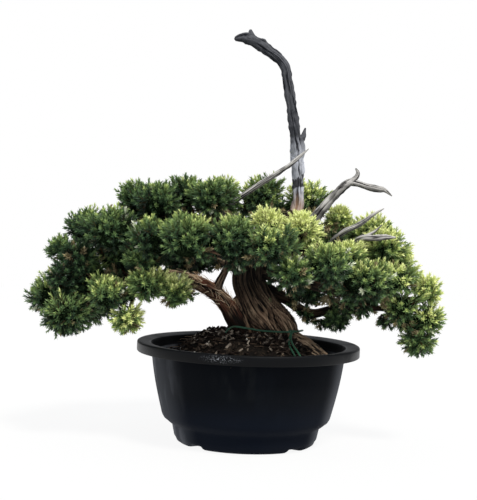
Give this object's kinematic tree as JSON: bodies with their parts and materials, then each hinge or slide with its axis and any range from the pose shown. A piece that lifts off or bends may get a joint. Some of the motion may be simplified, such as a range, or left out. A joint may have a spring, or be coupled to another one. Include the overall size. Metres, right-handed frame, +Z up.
{
  "type": "juniper bonsai",
  "caption": "Small needled juniper trained as a bonsai, with bleached dead branches, standing in a round black plastic training pot filled with bark mix.",
  "frame": {"origin": "middle of the pot's flat underside, on the pot's axis", "axes": "+Z up along the pot's axis; X runs along the tree's long spread, with the long low limb on the left at -X; the tree's front is seen from -Y"},
  "size_m": [0.4657, 0.2739, 0.4441],
  "materials": {
    "pot_plastic": "satin",
    "soil": "matte",
    "bark": "matte",
    "dead_wood": "matte",
    "foliage": "satin",
    "wire_coating": "satin"
  },
  "bodies": {
    "root": {"dead_leader": "dead_wood", "jin_left": "dead_wood", "jin_right_forked": "dead_wood", "jin_right_low": "dead_wood", "jin_right_thin": "dead_wood", "pot": "pot_plastic", "soil": "soil", "spray_back_left_1": "foliage", "spray_back_left_2": "foliage", "spray_back_left_3": "foliage", "spray_back_right_1": "foliage", "spray_back_right_2": "foliage", "spray_back_right_3": "foliage", "spray_crown_1": "foliage", "spray_crown_2": "foliage", "spray_crown_3": "foliage", "spray_crown_back_1": "foliage", "spray_crown_back_2": "foliage", "spray_crown_back_3": "foliage", "spray_first_left_1": "foliage", "spray_first_left_10": "foliage", "spray_first_left_11": "foliage", "spray_first_left_2": "foliage", "spray_first_left_3": "foliage", "spray_first_left_4": "foliage", "spray_first_left_5": "foliage", "spray_first_left_6": "foliage", "spray_first_left_7": "foliage", "spray_first_left_8": "foliage", "spray_first_left_9": "foliage", "spray_left_mid_1": "foliage", "spray_left_mid_2": "foliage", "spray_left_mid_3": "foliage", "spray_left_mid_4": "foliage", "spray_left_mid_5": "foliage", "spray_left_top_1": "foliage", "spray_left_top_2": "foliage", "spray_left_top_3": "foliage", "spray_left_top_4": "foliage", "spray_left_top_5": "foliage", "spray_left_top_6": "foliage", "spray_left_top_7": "foliage", "spray_right_low_1": "foliage", "spray_right_low_2": "foliage", "spray_right_low_3": "foliage", "spray_right_low_4": "foliage", "spray_right_low_5": "foliage", "spray_right_low_6": "foliage", "spray_right_mid_1": "foliage", "spray_right_mid_2": "foliage", "spray_right_mid_3": "foliage", "spray_right_mid_4": "foliage", "spray_right_mid_5": "foliage", "spray_right_top_1": "foliage", "spray_right_top_2": "foliage", "spray_right_top_3": "foliage", "spray_right_top_4": "foliage", "spray_riser_1": "foliage", "tie_wire": "wire_coating", "trunk": "bark"}
  },
  "joints": []
}
